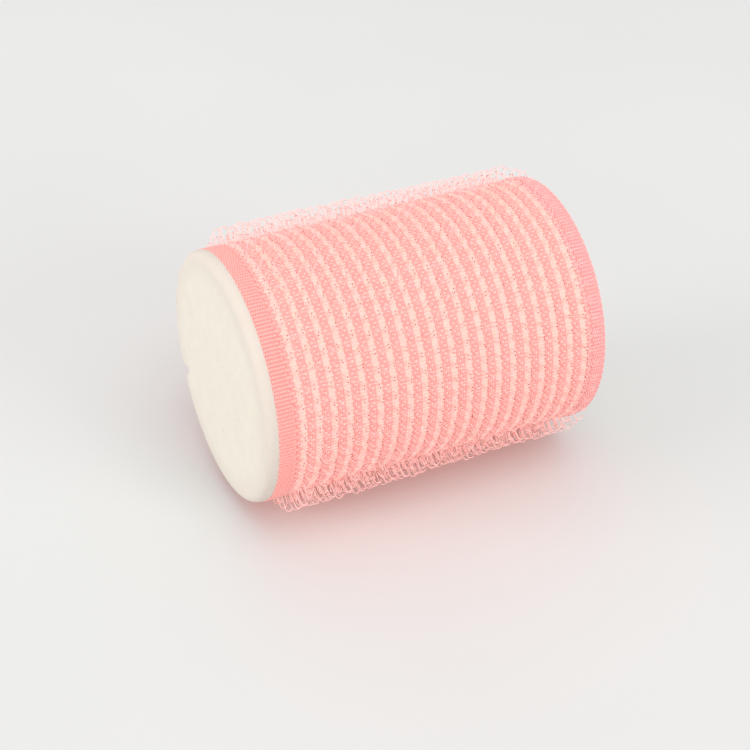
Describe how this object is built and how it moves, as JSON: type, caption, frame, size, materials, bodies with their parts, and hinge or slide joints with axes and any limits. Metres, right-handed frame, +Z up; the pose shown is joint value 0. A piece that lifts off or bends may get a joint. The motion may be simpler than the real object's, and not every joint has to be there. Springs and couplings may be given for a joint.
{
  "type": "hair roller",
  "caption": "Self-grip hair roller: a solid cream foam core in a pink woven sleeve with open stripes and standing rows of fine hooked filament.",
  "frame": {"origin": "on the surface that the roller lies on, under the middle of the roller", "axes": "+X along the roller's axis, towards the end with the narrower selvedge; +Z up"},
  "size_m": [0.0624, 0.0492, 0.0491],
  "materials": {
    "foam": "fine open-cell foam, matt",
    "weft": "sparse nylon weft yarn, satin",
    "selvedge": "plain woven nylon with fine ribs, satin",
    "warp_band": "dense woven nylon band, satin",
    "hook_filament": "clear pink nylon monofilament, glossy",
    "weld": "melted nylon, smooth"
  },
  "bodies": {
    "root": {"foam_core": "foam", "weft_web": "weft", "selvedge_left": "selvedge", "selvedge_right": "selvedge", "warp_band_01": "warp_band", "warp_band_02": "warp_band", "warp_band_03": "warp_band", "warp_band_04": "warp_band", "warp_band_05": "warp_band", "warp_band_06": "warp_band", "warp_band_07": "warp_band", "warp_band_08": "warp_band", "warp_band_09": "warp_band", "warp_band_10": "warp_band", "warp_band_11": "warp_band", "warp_band_12": "warp_band", "warp_band_13": "warp_band", "warp_band_14": "warp_band", "warp_band_15": "warp_band", "warp_band_16": "warp_band", "warp_band_17": "warp_band", "warp_band_18": "warp_band", "warp_band_19": "warp_band", "hook_row_01": "hook_filament", "hook_row_02": "hook_filament", "hook_row_03": "hook_filament", "hook_row_04": "hook_filament", "hook_row_05": "hook_filament", "hook_row_06": "hook_filament", "hook_row_07": "hook_filament", "hook_row_08": "hook_filament", "hook_row_09": "hook_filament", "hook_row_10": "hook_filament", "hook_row_11": "hook_filament", "hook_row_12": "hook_filament", "hook_row_13": "hook_filament", "hook_row_14": "hook_filament", "hook_row_15": "hook_filament", "hook_row_16": "hook_filament", "hook_row_17": "hook_filament", "hook_row_18": "hook_filament", "hook_row_19": "hook_filament", "hook_row_20": "hook_filament", "weld_seam": "weld"}
  },
  "joints": []
}
